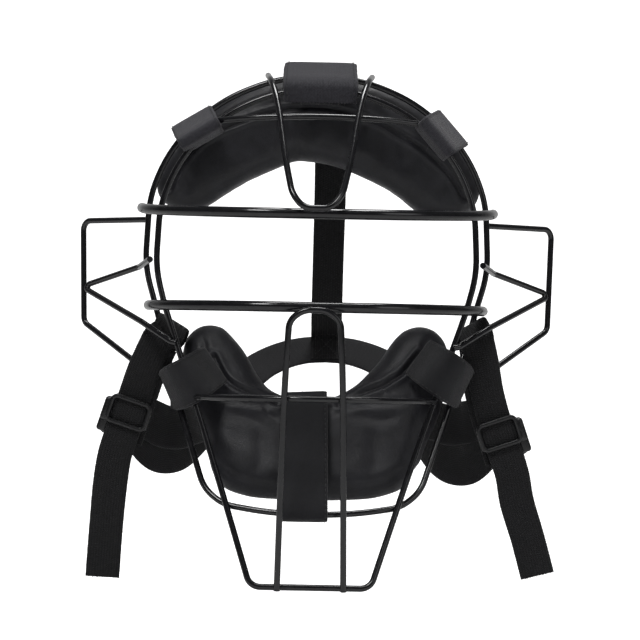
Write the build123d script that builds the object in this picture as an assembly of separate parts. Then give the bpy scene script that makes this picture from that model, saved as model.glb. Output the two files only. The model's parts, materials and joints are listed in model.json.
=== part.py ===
"""A wire-frame catcher's mask: welded cage, two pads, hook tabs and an adjustable harness.

Frame: +X to the wearer's left, +Y towards the wearer's head, +Z up. The origin is the centre of
the eye opening in the plane of the rear ring. The cage's front faces -Y.
"""

from build123d import *

import os
from math import cos, radians, sin, sqrt, tan

# Driving dimensions, mm
WIRE = 3.6  # diameter of the cage's thin wires
BAR = 6.0  # diameter of the two eye bars
GAP = 0.35  # clearance between loose pieces

REAR_HALF_WIDTH, REAR_RISE, REAR_CENTRE_Z = 103.4, 96.0, 14.0  # oval top of the rear ring
FRONT_HALF_WIDTH, FRONT_RISE, FRONT_CENTRE_Z = 94.0, 90.0, 8.0  # oval top of the front ring
OVAL_ANGLES = (90, 74, 58, 43, 28, 13)  # where the ovals are sampled, degrees
FRONT_Y = -30.0  # the front ring's plane
JAW_Z = -35.0  # below this the rear ring leans forward under the jaw
JAW_SLOPE = 0.42
THROAT_Z = -186.5  # the throat guard's bottom bar
THROAT_HALF = 33.7
BAR_REACH = -80.0  # how far forward the eye bars bow

PAD_THICK = 27.0
LEATHER = 1.2
PAD_GAP = 4.4  # from the ring's plane to a pad, room for the tabs' rear legs

WEBBING = 20.0
WEBBING_THICK = 2.0
ELASTIC = 25.0
TOP_STRAP_X = 7.0
BUCKLE_WIDTH, BUCKLE_HEIGHT, BUCKLE_BAR = 25.4, 17.6, 3.0  # height is over the upper window
BUCKLE_LOWER = 7.8  # how far the third bar lies below the second
SIDE_STRAP_Y = -15.8

# Each side's buckle centre, tilt from vertical, and the tail's lower end (X, Z)
SIDES = {
    "left": {"sign": -1, "buckle": (-108.8, -93.6), "tilt": 18.0, "tail_end": (-125.5, -191.5)},
    "right": {"sign": 1, "buckle": (109.4, -101.8), "tilt": 19.0, "tail_end": (135.0, -186.0)},
}


def jaw_y(z):
    """The rear ring's Y at height z."""
    return -JAW_SLOPE * max(0.0, JAW_Z - z)


def throat_y(z):
    """The front ring's Y at height z, curving forward over the throat."""
    return FRONT_Y - 0.00148 * max(0.0, -22.0 - z) ** 2


def corner_radii(points, closed, largest=400.0):
    """The largest tangent arc that fits at each corner of a route."""
    count = len(points)
    corners = range(count) if closed else range(1, count - 1)
    radii = []
    for i in corners:
        before = Vector(*points[i]) - Vector(*points[i - 1])
        after = Vector(*points[(i + 1) % count]) - Vector(*points[i])
        half_turn = radians(before.get_angle(after)) / 2
        radii.append(min(largest, 0.45 * min(before.length, after.length) / tan(half_turn)))
    return radii


def rod(points, diameter, closed=False, largest=400.0):
    """A round wire along straight runs joined by tangent arcs."""
    route = FilletPolyline(*points, radius=corner_radii(points, closed, largest), close=closed)
    section = Plane(origin=route @ 0, z_dir=route % 0) * Circle(diameter / 2)
    return sweep(section, path=route)


def mirrored(right_half):
    """A right half (X > 0), listed outwards from the centre, with its mirror image before it."""
    return [(-x, y, z) for x, y, z in reversed(right_half)] + right_half


def closed_ring(top_to_bottom):
    """A symmetric loop from its right half, whose first and last points may lie on X = 0."""
    left = [(-x, y, z) for x, y, z in reversed(top_to_bottom) if x > 0.001]
    return top_to_bottom + left


def oval(half_width, rise, centre_z, y, angles):
    return [
        (half_width * cos(radians(a)), y, centre_z + rise * sin(radians(a))) for a in angles
    ]


def rear_half():
    top = oval(REAR_HALF_WIDTH, REAR_RISE, REAR_CENTRE_Z, 0.0, OVAL_ANGLES)
    sides = [(x, jaw_y(z), z) for x, z in ((102.8, -7.0), (95.5, -32.0), (79.0, -88.0))]
    chin = [(62.5, -41.8, -134.5), (51.0, -48.0, -143.3), (26.0, -54.5, -146.6)]
    return top + sides + chin + [(0.0, -56.5, -147.6)]


def front_half():
    top = oval(FRONT_HALF_WIDTH, FRONT_RISE, FRONT_CENTRE_Z, FRONT_Y, OVAL_ANGLES)
    lower = []
    for z in (-8.0, -30.0, -65.0, -103.0, -145.0, THROAT_Z):
        lean = min(1.0, (z - THROAT_Z) / (-30.0 - THROAT_Z))
        x = THROAT_HALF + (88.0 - THROAT_HALF) * lean if z < -8.0 else 93.4
        lower.append((x, throat_y(z), z))
    return top + lower


def rear_ring():
    return rod(closed_ring(rear_half()), WIRE, closed=True)


def front_ring():
    points = closed_ring(front_half())
    radii = corner_radii(points, True)
    bottom = [i for i, p in enumerate(points) if p[2] < THROAT_Z + 1.0]
    for i in bottom:
        radii[i] = 8.0
    route = FilletPolyline(*points, radius=radii, close=True)
    section = Plane(origin=route @ 0, z_dir=route % 0) * Circle(WIRE / 2)
    return sweep(section, path=route)


def eye_bar(half, z_end, z_front):
    """A thick bar that bows forward from the rear ring's sides."""
    right = []
    for a in (88, 72, 55, 38, 20):
        x = half * cos(radians(90 - a)) if a > 0 else half
        y = BAR_REACH * cos(radians(a))
        right.append((x, y, z_front + (z_end - z_front) * (a / 90) ** 2))
    right[0], right[-1] = right[-1], right[0]
    right = sorted(right, key=lambda p: p[0])
    right.append((half, 3.5, z_end))
    bar = rod(mirrored(right), BAR)
    for side in (-1, 1):
        bar = bar + Pos(side * half, 3.5, z_end) * Sphere(BAR / 2 - 0.02)
    return bar


def forehead_loop():
    """A U of wire: its tips lie on the rear ring, its round bottom on the upper eye bar."""
    leg = [
        (7.5, BAR_REACH - 4.5, 24.4),
        (14.0, BAR_REACH - 1.5, 32.5),
        (18.4, -68.0, 53.0),
        (22.6, -46.8, 81.0),
        (25.6, -36.5, 94.2),
        (28.6, -25.5, 103.0),
        (31.2, 1.5, 109.3),
    ]
    return rod(mirrored(leg), WIRE)


def chin_loop():
    """An inverted U: round top on the lower eye bar, two legs welded to the bottom bar."""
    leg = [
        (6.5, BAR_REACH - 4.4, -31.6),
        (14.2, BAR_REACH - 4.4, -37.5),
        (15.4, -83.5, -60.0),
        (16.3, -81.3, -82.0),
        (17.4, -78.6, -130.0),
        (18.5, -73.2, -188.0),
    ]
    return rod(mirrored(leg), WIRE)


def brow_bar():
    right = [(12.0, -43.2, 79.6), (36.0, -41.0, 79.0), (60.5, -33.3, 77.4)]
    return rod(mirrored(right), WIRE)


def chin_bar():
    right = [(14.0, -77.9, -81.0), (38.0, -71.5, -81.3), (58.0, -55.5, -82.0), (69.4, -38.6, -83.0)]
    return rod(mirrored(right), WIRE)


def ear_loop(side):
    points = [
        (101.5, 2.4, 21.4),
        (146.0, 40.0, 22.0),
        (144.5, 40.0, -41.0),
        (106.0, 9.0, -66.5),
        (88.4, -9.4, -61.5),
    ]
    return rod([(side * x, y, z) for x, y, z in points], WIRE, largest=6.0)


def ear_brace(side):
    points = [
        (96.8, -31.0, -3.6),
        (106.4, 0.5, -7.2),
        (146.2, 39.6, -19.0),
        (102.0, -21.4, -40.0),
        (83.6, -33.6, -51.2),
        (80.2, -34.6, -51.8),
    ]
    return rod([(side * x, y, z) for x, y, z in points], WIRE, largest=2.2)


def front_view(points, radius=None):
    """A flat face in the XZ plane from (x, z) points with rounded corners."""
    flat = [(x, 0.0, z) for x, z in points]
    radii = corner_radii(flat, True, radius or 400.0)
    outline = FilletPolyline(*flat, radius=radii, close=True)
    return make_face(outline)


def prism(face, y_front, y_back):
    return extrude(Pos(0, y_front, 0) * face, amount=y_back - y_front, dir=(0, 1, 0))


def forehead_outline(inset):
    """A crescent whose outer edge follows the rear ring."""
    outer = oval(101.6 - inset, 94.0 - inset, REAR_CENTRE_Z, 0.0, (12, 28, 44, 60, 76))
    outer = [(x, z) for x, _, z in outer]
    inner = [(86.0 - inset, 27.5 + inset), (58.0, 36.0 + inset), (26.0, 50.0 + inset)]
    right = list(reversed(inner)) + outer
    return right + [(-x, z) for x, z in reversed(right)]


def chin_outline(inset):
    """A U of two cheek lobes joined under the chin."""
    right = [
        (22.0 + inset, -79.0 - inset),
        (42.0 + inset, -59.5 - inset),
        (58.0, -43.0 - inset),
        (69.0 - inset, -43.5 - inset),
        (76.5 - inset, -56.0),
        (77.5 - inset, -84.0),
        (66.0 - inset, -122.0),
        (53.0 - inset, -138.5 + inset),
        (25.0, -143.5 + inset),
    ]
    return right + [(-x, z) for x, z in reversed(right)]


def jaw_slab(front, back):
    """A leaning slab, parallel to the rear ring's jaw, cut from the same distances behind it."""
    lean = sqrt(1 + JAW_SLOPE**2)
    side = [
        (front * lean, JAW_Z + 10.0),
        (back * lean, JAW_Z + 10.0),
        (back * lean, JAW_Z),
        (back * lean - JAW_SLOPE * 130.0, JAW_Z - 130.0),
        (front * lean - JAW_SLOPE * 130.0, JAW_Z - 130.0),
        (front * lean, JAW_Z),
    ]
    face = make_face(Polyline(*[(0.0, y, z) for y, z in side], close=True))
    return extrude(face, amount=130.0, dir=(1, 0, 0), both=True)


def forehead_pad():
    whole = prism(front_view(forehead_outline(0.0)), PAD_GAP, PAD_GAP + PAD_THICK)
    inner = front_view(forehead_outline(LEATHER))
    foam = prism(inner, PAD_GAP + LEATHER, PAD_GAP + PAD_THICK - LEATHER)
    return whole - foam, foam


def chin_pad():
    depth = (-90.0, 60.0)
    whole = prism(front_view(chin_outline(0.0)), *depth) & jaw_slab(PAD_GAP, PAD_GAP + PAD_THICK)
    thin_slab = jaw_slab(PAD_GAP + LEATHER, PAD_GAP + PAD_THICK - LEATHER)
    foam = prism(front_view(chin_outline(LEATHER)), *depth) & thin_slab
    return whole - foam, foam


def ribbon(points, thickness, width, plane, radius=2.5):
    """A flat strap: its edge view is a route in the plane, and it is centred across it."""
    count = len(points)
    flat = [(x, y, 0.0) for x, y in points]
    radii = [min(radius, r) for r in corner_radii(flat, False)] if count > 2 else 0
    route = FilletPolyline(*flat, radius=radii) if count > 2 else Line(flat[0], flat[1])
    start = route @ 0
    heading = route % 0
    across = Vector(-heading.Y, heading.X, 0.0)
    edge = Line(start - across * (thickness / 2), start + across * (thickness / 2))
    strip = sweep(edge, path=route)
    return extrude(plane * strip, amount=width / 2, dir=plane.z_dir, both=True)


def forehead_tab(side):
    """A band over both rings: from behind the rear ring to in front of the front ring."""
    angle = radians(43.0)
    centre = (
        side * REAR_HALF_WIDTH * cos(angle),
        0.0,
        REAR_CENTRE_Z + REAR_RISE * sin(angle),
    )
    plane = Plane(origin=centre, x_dir=(0, 1, 0), z_dir=(0.714, 0.0, -side * 0.70))
    outward = 1 if plane.y_dir.Z > 0 else -1
    half = WIRE / 2 + GAP + 0.8
    route = [
        (half, -11.0),
        (half, half + 0.4),
        (-half, half + 0.4),
        (-33.0, -7.6),
        (-38.4, -10.6),
        (-38.4, -17.0),
    ]
    return ribbon([(y, outward * r) for y, r in route], 1.6, 27.0, plane)


def forehead_tab_center():
    """The wide tab over both rings, with a slot behind for the top strap's loop."""
    plane = Plane(origin=(0, 0, 109.6), x_dir=(0, 1, 0), z_dir=(1, 0, 0))
    route = [
        (6.0, -0.4),
        (6.0, 6.4),
        (-6.0, 6.4),
        (-31.0, -6.2),
        (-34.2, -9.0),
        (-34.2, -20.0),
    ]
    hood = ribbon(route, 2.0, 43.0, plane, 4.0)
    slot = Pos(TOP_STRAP_X, 8.5, 112.0) * Box(WEBBING + 3.0, 20.0, 30.0)
    return hood - slot


def cheek_tab(side):
    """A wide band from in front of the front ring, round the rear ring, to behind it."""
    z = -78.0
    tangent = Vector(side * 0.283, JAW_SLOPE, 1.0).normalized()
    outward = (Vector(side, 0, 0) - tangent * (side * tangent.X)).normalized()
    plane = Plane(origin=(side * 82.0, jaw_y(z), z), x_dir=tuple(outward), z_dir=tuple(tangent))
    back = 1 if plane.y_dir.Y > 0 else -1
    route = [
        (-29.0, -back * 27.5),
        (-6.0, -back * 27.0),
        (3.1, -back * 6.0),
        (3.1, back * 3.1),
        (-12.0, back * 3.1),
    ]
    return ribbon(route, 1.5, 19.0, plane, 3.0)


def chin_tab():
    """A tab from the pad's top edge down in front of it and round the rear ring's bottom."""
    plane = Plane(origin=(-4.0, 0, 0), x_dir=(0, 1, 0), z_dir=(1, 0, 0))
    route = [
        (-19.5, -78.5),
        (-33.0, -104.0),
        (-59.2, -143.0),
        (-58.6, -150.4),
        (-52.6, -150.4),
        (-48.5, -141.5),
    ]
    return ribbon(route, 1.6, 27.0, plane)


# The harness

HINGE_Z = 109.2
BAND_CENTRE = Vector(TOP_STRAP_X, 92.0, -56.0)
BAND_DOWN = Vector(0.0, -0.741, -0.671)  # the rear strap's face runs down and forward
BAND_NORMAL = Vector(0.0, -0.671, 0.741)
BAND_RADIUS = 60.0


def top_strap():
    """A loop round the ring's top wire, over the forehead pad and down to the rear strap."""
    plane = Plane(origin=(TOP_STRAP_X, 0, 0), x_dir=(0, 1, 0), z_dir=(1, 0, 0))
    face = BAND_CENTRE + BAND_NORMAL * (1.0 + WEBBING_THICK / 2)
    high, low = face - BAND_DOWN * 10.0, face + BAND_DOWN * 10.0
    route = [
        (0.0, HINGE_Z + 4.1),
        (38.5, HINGE_Z + 4.1),
        (43.0, 98.0),
        (high.Y, high.Z),
        (low.Y, low.Z),
    ]
    strap = ribbon(route, WEBBING_THICK, WEBBING, plane, 4.0)
    eye = Plane(origin=(TOP_STRAP_X, 0, HINGE_Z), z_dir=(1, 0, 0)) * (
        Circle(WIRE / 2 + 3.0) - Circle(WIRE / 2 + 1.6)
    )
    return strap + extrude(eye, amount=WEBBING / 2, both=True)


def rear_strap():
    """The elastic's middle: an arch lying in a slope behind the chin pad."""
    centre = BAND_CENTRE + BAND_DOWN * BAND_RADIUS
    plane = Plane(origin=tuple(centre), x_dir=(1, 0, 0), z_dir=tuple(BAND_NORMAL))
    outer, inner = BAND_RADIUS + ELASTIC / 2, BAND_RADIUS - ELASTIC / 2
    annulus = Circle(outer) - Circle(inner)
    up = 1 if plane.y_dir.dot(BAND_DOWN) < 0 else -1
    spread = 62.0
    far = 3 * outer
    edge = (far * sin(radians(spread)), up * far * cos(radians(spread)))
    wedge = make_face(Polyline((0, 0), edge, (0, up * far * 2), (-edge[0], edge[1]), close=True))
    return extrude(plane * (annulus & wedge), amount=1.0, both=True)


def rear_strap_end(side):
    """The elastic's end: a slack fold in an upright plane, from the buckle to behind the pad."""
    across = Vector(-side * 0.661, 0.749, 0.0)
    normal = across.cross(Vector(0, 0, 1))
    plane = Plane(origin=(side * 111.5, -8.5, 0), x_dir=tuple(across), z_dir=tuple(normal))
    drop = 0.0 if side < 0 else -4.0
    lower = [
        (4.0, -107.0 + drop),
        (22.0, -128.0 + drop),
        (33.0, -133.5 + drop),
        (46.0, -130.0 + drop),
        (80.0, -114.0 + drop),
    ]
    upper = [
        (72.0, -90.0 + drop),
        (44.0, -98.0 + drop),
        (30.0, -97.0 + drop),
        (8.0, -84.0 + drop),
    ]
    up = 1 if plane.y_dir.Z > 0 else -1
    flat = [(h, up * z, 0.0) for h, z in lower + upper]
    outline = FilletPolyline(*flat, radius=corner_radii(flat, True, 8.0), close=True)
    return extrude(plane * make_face(outline), amount=0.9, both=True)


def strap_plane(side):
    """Local X along the buckle's bars, local Y up the strap, local Z to the front (-Y)."""
    x, z = side["buckle"]
    lean = radians(side["tilt"])
    bars = (cos(lean), 0.0, side["sign"] * sin(lean))
    return Plane(origin=(x, SIDE_STRAP_Y, z), x_dir=bars, z_dir=(0, -1, 0))


def side_strap(side):
    """Doubled webbing from its fold round the ring to just below the buckle."""
    sign = side["sign"]
    x, z = side["buckle"]
    reach = (-44.0 - z) / cos(radians(side["tilt"]))
    below = 17.5
    plane = strap_plane(side)
    slab = plane * (Pos(0, (reach - below) / 2, 0) * Box(WEBBING, reach + below, WEBBING_THICK))
    outer_x, inner_x = 102.5, 78.5
    front, back = SIDE_STRAP_Y - 1.0, 4.4
    middle = (sign * (outer_x + inner_x) / 2, (front + back) / 2, -43.0)
    wall = 1.8
    deep = back - front
    fold = Pos(*middle) * Box(outer_x - inner_x, deep, 20.0)
    hollow = Pos(*middle) * Box(outer_x - inner_x - 2 * wall, deep - 2 * wall - 0.2, 30.0)
    return slab + (fold - hollow)


def buckle(side):
    """A three-bar slide: two bars in front of the webbing, and a third lower down, behind it."""
    half_w, half_h, bar = BUCKLE_WIDTH / 2, BUCKLE_HEIGHT / 2, BUCKLE_BAR
    clear = WEBBING_THICK / 2 + 0.3
    slot_half = WEBBING / 2 + 1.0
    cheek = half_w - slot_half
    frame = Box(2 * slot_half + 1.0, bar, 3.0)
    top_bar = Pos(0, half_h - bar / 2, clear + 1.5) * frame
    middle_bar = Pos(0, -half_h + bar / 2, clear + 2.0 + 1.5) * frame
    lower_bar = Pos(0, -half_h - BUCKLE_LOWER + bar / 2, -clear - 1.5) * frame
    sides = []
    for s in (-1, 1):
        middle = s * (slot_half + cheek / 2)
        depth = 2 * clear + 3.0 + 2.0 + 3.0
        height = 2 * half_h + BUCKLE_LOWER
        cheek_box = Box(cheek, height, depth)
        sides.append(Pos(middle, -BUCKLE_LOWER / 2, -clear - 3.0 + depth / 2) * cheek_box)
    solid = top_bar + middle_bar + lower_bar + sides[0] + sides[1]
    return strap_plane(side) * solid


TAIL_DROP = BUCKLE_HEIGHT / 2 + 1.2  # the tail's flex line below the buckle's centre
TAIL_Y = SIDE_STRAP_Y - WEBBING_THICK / 2 - 0.3 - 0.8


def strap_tail(side):
    """The loose end below the buckle, in front of the doubled webbing."""
    lean = radians(side["tilt"])
    x, z = side["buckle"]
    top_x = x + side["sign"] * TAIL_DROP * sin(lean)
    top_z = z - TAIL_DROP * cos(lean)
    end_x, end_z = side["tail_end"]
    knee_x = top_x + side["sign"] * 8.0
    knee_z = top_z - 30.0
    half = WEBBING / 2
    route = [(top_x, top_z), (knee_x, knee_z), (end_x, end_z)]
    flat = [(px, pz, 0.0) for px, pz in route]
    path = FilletPolyline(*flat, radius=[40.0])
    heading = path % 0
    across = Vector(-heading.Y, heading.X, 0.0)
    strip = sweep(Line(path @ 0 - across * half, path @ 0 + across * half), path=path)
    plane = Plane(origin=(0, TAIL_Y, 0), x_dir=(1, 0, 0), z_dir=(0, -1, 0))
    return extrude(plane * strip, amount=0.8, both=True)


def build():
    forehead_cover, forehead_foam = forehead_pad()
    chin_cover, chin_foam = chin_pad()
    parts = {
        "rear_ring": rear_ring(),
        "front_ring": front_ring(),
        "upper_eye_bar": eye_bar(105.2, 28.5, 21.6),
        "lower_eye_bar": eye_bar(100.2, -30.0, -30.0),
        "forehead_loop": forehead_loop(),
        "chin_loop": chin_loop(),
        "brow_bar": brow_bar(),
        "chin_bar": chin_bar(),
        "forehead_pad_cover": forehead_cover,
        "forehead_pad_foam": forehead_foam,
        "chin_pad_cover": chin_cover,
        "chin_pad_foam": chin_foam,
        "forehead_tab_center": forehead_tab_center(),
        "chin_tab": chin_tab(),
        "top_strap": top_strap(),
        "rear_strap": rear_strap(),
    }
    for name, side in SIDES.items():
        sign = side["sign"]
        parts[f"ear_guard_loop_{name}"] = ear_loop(sign)
        parts[f"ear_guard_brace_{name}"] = ear_brace(sign)
        parts[f"forehead_tab_{name}"] = forehead_tab(sign)
        parts[f"cheek_tab_{name}"] = cheek_tab(sign)
        parts[f"rear_strap_end_{name}"] = rear_strap_end(sign)
        parts[f"side_strap_{name}"] = side_strap(side)
        parts[f"buckle_{name}"] = buckle(side)
        parts[f"strap_tail_{name}"] = strap_tail(side)
    return parts


os.makedirs("parts", exist_ok=True)
for node, shape in build().items():
    export_step(shape, f"parts/{node}.step")
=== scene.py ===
"""A catcher's mask: black coated wire cage, stuffed leather pads, hook tabs and a slack harness.

Metres, in the CAD frame: +X to the wearer's left, +Y towards the head, +Z up.
"""

import json
from math import cos, pi, radians, sin

import bmesh
import bpy
import numpy as np
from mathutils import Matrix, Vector

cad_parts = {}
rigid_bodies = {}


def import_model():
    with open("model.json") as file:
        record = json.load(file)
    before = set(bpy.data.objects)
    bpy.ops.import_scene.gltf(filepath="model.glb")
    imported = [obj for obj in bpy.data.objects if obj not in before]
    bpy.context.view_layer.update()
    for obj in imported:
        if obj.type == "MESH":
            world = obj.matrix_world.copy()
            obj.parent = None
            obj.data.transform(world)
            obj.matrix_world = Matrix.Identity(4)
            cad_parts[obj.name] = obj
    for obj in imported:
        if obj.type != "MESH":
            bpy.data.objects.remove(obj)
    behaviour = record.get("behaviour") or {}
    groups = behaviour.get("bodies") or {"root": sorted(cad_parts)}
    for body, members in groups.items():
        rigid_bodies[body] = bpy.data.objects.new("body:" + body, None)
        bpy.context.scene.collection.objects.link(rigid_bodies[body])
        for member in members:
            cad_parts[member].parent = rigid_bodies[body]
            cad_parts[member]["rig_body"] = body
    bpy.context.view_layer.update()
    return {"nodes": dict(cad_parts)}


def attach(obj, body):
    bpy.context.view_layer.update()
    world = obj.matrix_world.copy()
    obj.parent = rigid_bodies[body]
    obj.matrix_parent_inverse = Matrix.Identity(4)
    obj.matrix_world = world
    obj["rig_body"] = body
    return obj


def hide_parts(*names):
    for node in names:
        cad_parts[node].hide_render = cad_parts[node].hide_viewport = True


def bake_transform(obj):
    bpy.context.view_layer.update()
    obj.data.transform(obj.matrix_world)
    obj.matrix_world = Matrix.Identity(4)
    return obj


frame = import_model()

MM = 0.001
SIDES = {"left": -1, "right": 1}

# Facts shared with the CAD model
JAW_Z, JAW_SLOPE = -0.035, 0.42
TOP_STRAP_X = 0.007
WEBBING = 0.020
STRAP_Y = -0.0158
BUCKLE_HALF_WIDTH, BUCKLE_HALF_HEIGHT = 0.0127, 0.0088
BUCKLES = {
    "left": {"centre": (-0.1088, -0.0936), "tilt": radians(18.0), "tail_end": (-0.1225, -0.1905)},
    "right": {"centre": (0.1094, -0.1018), "tilt": radians(19.0), "tail_end": (0.1335, -0.185)},
}

# How finely a strap is divided, across its face and along it
SECTION_COLUMNS = 13
TAB_STEP, WEBBING_STEP, ELASTIC_STEP = 0.0007, 0.00055, 0.0006

TOP_STRAP_THICK, SIDE_STRAP_THICK, TAIL_THICK, ELASTIC_THICK = 0.0019, 0.0017, 0.0016, 0.0019
PAD_VOXEL, PAD_OUTLINE_STEP, PAD_PRESSURE, PAD_CAP = 0.004, 0.003, 4.0, 3.0
CLOTH_FRAMES = 20
SLIDE_GIRTH, SLIDE_DEPTH = 0.0026, 0.0030
FLOOR_Z = -0.215


def jaw_y(z):
    """The rear ring's Y at height z: it leans forward under the jaw."""
    return -JAW_SLOPE * np.maximum(0.0, JAW_Z - z)


# Curves and straps


def unit(vectors):
    return vectors / np.maximum(np.linalg.norm(vectors, axis=-1, keepdims=True), 1e-12)


def spline(rows, step, closed=False):
    """Even steps along a smooth curve through rows, whose first three columns are the place."""
    rows = np.array(rows, float)
    first, last = 0, len(rows) - 1
    if closed:
        first, last = 3, 3 + len(rows)
        rows = np.concatenate([rows[-3:], rows, rows[:4]])
    gaps = np.linalg.norm(np.diff(rows[:, :3], axis=0), axis=1) ** 0.5
    knots = np.concatenate([[0], np.cumsum(gaps)])
    slopes = np.gradient(rows, knots, axis=0)
    fine = np.linspace(knots[first], knots[last], 80 * (last - first))
    i = np.clip(np.searchsorted(knots, fine, "right") - 1, 0, len(rows) - 2)
    span = (knots[i + 1] - knots[i])[:, None]
    t = (fine - knots[i])[:, None] / span
    out = (2 * t**3 - 3 * t**2 + 1) * rows[i] + (t**3 - 2 * t**2 + t) * span * slopes[i]
    out += (3 * t**2 - 2 * t**3) * rows[i + 1] + (t**3 - t**2) * span * slopes[i + 1]
    runs = np.linalg.norm(np.diff(out[:, :3], axis=0), axis=1)
    along = np.concatenate([[0], np.cumsum(runs)])
    at = np.linspace(0, along[-1], max(3, round(along[-1] / step) + 1))
    even = np.stack([np.interp(at, along, column) for column in out.T], axis=1)
    return even[:-1] if closed else even


def rows_mm(points):
    """Strap rows (x, y, z, across x, y, z, width) from millimetres."""
    return [(x * MM, y * MM, z * MM, ax, ay, az, w * MM) for x, y, z, ax, ay, az, w in points]


def path_frame(path):
    """Centre, unit across and unit normal along a sampled strap."""
    centre = path[:, :3]
    along = unit(np.gradient(centre, axis=0))
    across = path[:, 3:6]
    across = unit(across - along * np.sum(across * along, axis=1, keepdims=True))
    return centre, across, np.cross(along, across)


def new_object(name, vertices, faces, material, body=None):
    mesh = bpy.data.meshes.new(name)
    mesh.from_pydata(np.asarray(vertices).tolist(), [], faces)
    mesh.update()
    mesh.materials.append(material)
    mesh.shade_smooth()
    made = bpy.data.objects.new(name, mesh)
    bpy.context.scene.collection.objects.link(made)
    if body:
        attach(made, body)
    return made


def strap(name, path, thick, material, rib=0.0, ragged=0.0, seed=0, body=None):
    """A flat band with rounded edges, one rib every second step, and weave coordinates in mm."""
    centre, across, normal = path_frame(path)
    count = len(path)
    rng = np.random.default_rng(seed)
    parity = np.where(np.arange(count) % 2, 1.0, -1.0)
    swell = 1 + rib * parity
    trim = 1 + ragged * parity + rng.normal(0, ragged / 2 + 1e-9, count)
    u = np.sin(np.linspace(-pi / 2, pi / 2, SECTION_COLUMNS))
    v = np.sqrt(1 - np.abs(u) ** 8)
    ring_u = np.concatenate([u, u[-2:0:-1]])
    ring_v = np.concatenate([v, -v[-2:0:-1]])
    size = len(ring_u)
    half = (path[:, 6] / 2 * trim)[:, None, None]
    points = centre[:, None] + across[:, None] * ring_u[None, :, None] * half
    points = points + normal[:, None] * (ring_v[None, :] * swell[:, None] * thick / 2)[..., None]
    faces = []
    for i in range(count - 1):
        for j in range(size):
            k = (j + 1) % size
            faces.append((i * size + j, i * size + k, (i + 1) * size + k, (i + 1) * size + j))
    faces.append(tuple(range(size))[::-1])
    faces.append(tuple(range((count - 1) * size, count * size)))
    made = new_object(name, points.reshape(-1, 3), faces, material, body)
    runs = np.linalg.norm(np.diff(centre, axis=0), axis=1)
    along = np.concatenate([[0], np.cumsum(runs)]) / MM
    weave = made.data.uv_layers.new(name="weave")
    wide = path[:, 6] / 2 / MM
    corner = np.array([loop.vertex_index for loop in made.data.loops])
    row, column = corner // size, corner % size
    coordinates = np.stack([ring_u[column] * wide[row], along[row]], axis=1)
    weave.data.foreach_set("uv", coordinates.astype(np.float32).ravel())
    return made


def tubes(name, lines, radius, material, sides=6, body=None, taper=0.35):
    """Many short round threads, each with tapered ends, as one piece."""
    vertices, faces = [], []
    turn = np.linspace(0, 2 * pi, sides, endpoint=False)
    for line in lines:
        line = np.asarray(line, float)
        along = unit(np.gradient(line, axis=0))
        guide = np.where(np.abs(along[:, 2:3]) < 0.8, [[0.0, 0.0, 1.0]], [[1.0, 0.0, 0.0]])
        side = unit(np.cross(along, guide))
        top = np.cross(along, side)
        girth = np.full(len(line), radius)
        girth[[0, -1]] *= taper
        start = len(vertices)
        for p, s, t, r in zip(line, side, top, girth):
            vertices += [p + r * (cos(a) * s + sin(a) * t) for a in turn]
        for i in range(len(line) - 1):
            low = start + i * sides
            for j in range(sides):
                k = (j + 1) % sides
                faces.append((low + j, low + k, low + sides + k, low + sides + j))
        faces.append(tuple(range(start, start + sides))[::-1])
        faces.append(tuple(range(len(vertices) - sides, len(vertices))))
    return new_object(name, vertices, faces, material, body)


def stitch_lines(points, normals, pitch, share=0.68, rise=0.00035):
    """Short arched threads along points on a surface."""
    runs = np.linalg.norm(np.diff(points, axis=0), axis=1)
    along = np.concatenate([[0], np.cumsum(runs)])
    lines = []
    for start in np.arange(0, along[-1] - pitch * share, pitch):
        at = np.linspace(start, start + pitch * share, 5)
        place = np.stack([np.interp(at, along, c) for c in points.T], axis=1)
        lift = np.stack([np.interp(at, along, c) for c in normals.T], axis=1)
        arch = np.sin(np.linspace(0.12, pi - 0.12, 5))[:, None] * rise
        lines.append(place + unit(lift) * arch)
    return lines


def on_strap(path, start, end, across_from, across_to, lift):
    """Points and normals over a strap's face, between two shares of its length and width."""
    centre, across, normal = path_frame(path)
    share = np.linspace(start, end, 60)
    index = share * (len(path) - 1)
    position = np.linspace(across_from, across_to, 60)

    def sample(columns):
        steps = np.arange(len(path))
        return np.stack([np.interp(index, steps, c) for c in columns.T], axis=1)

    width = np.interp(index, np.arange(len(path)), path[:, 6])
    facing = unit(sample(normal)) * np.sign(lift)
    points = sample(centre) + unit(sample(across)) * (position * width / 2)[:, None]
    return points + facing * abs(lift), facing


def frayed(path, at_start, length, spread, count, seed):
    """Loose fibres that stick out of a strap's cut end."""
    centre, across, normal = path_frame(path)
    i, j = (0, 1) if at_start else (-1, -2)
    out = unit(centre[i] - centre[j])
    rng = np.random.default_rng(seed)
    lines = []
    for _ in range(count):
        offset = rng.uniform(-0.96, 0.96) * path[i, 6] / 2
        root = centre[i] + across[i] * offset + normal[i] * rng.uniform(-0.4, 0.4) * MM
        reach = length * rng.uniform(0.3, 1.0)
        lean = across[i] * rng.normal(0, spread) + normal[i] * rng.normal(0, spread)
        curl = across[i] * rng.normal(0, spread) + normal[i] * rng.normal(0, spread)
        t = np.linspace(0, 1, 5)[:, None]
        lines.append(root - out * 0.6 * MM + (out * t + lean * t + curl * t**2) * reach)
    return lines


# Materials


def node(tree, kind, inputs=None, **settings):
    made = tree.nodes.new("ShaderNode" + kind)
    for name, value in settings.items():
        setattr(made, name, value)
    for socket, value in (inputs or {}).items():
        if isinstance(value, bpy.types.NodeSocket):
            tree.links.new(value, made.inputs[socket])
        else:
            made.inputs[socket].default_value = value
    return made


def calc(tree, operation, a, b=0.0, c=0.0):
    return node(tree, "Math", {0: a, 1: b, 2: c}, operation=operation).outputs[0]


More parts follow.
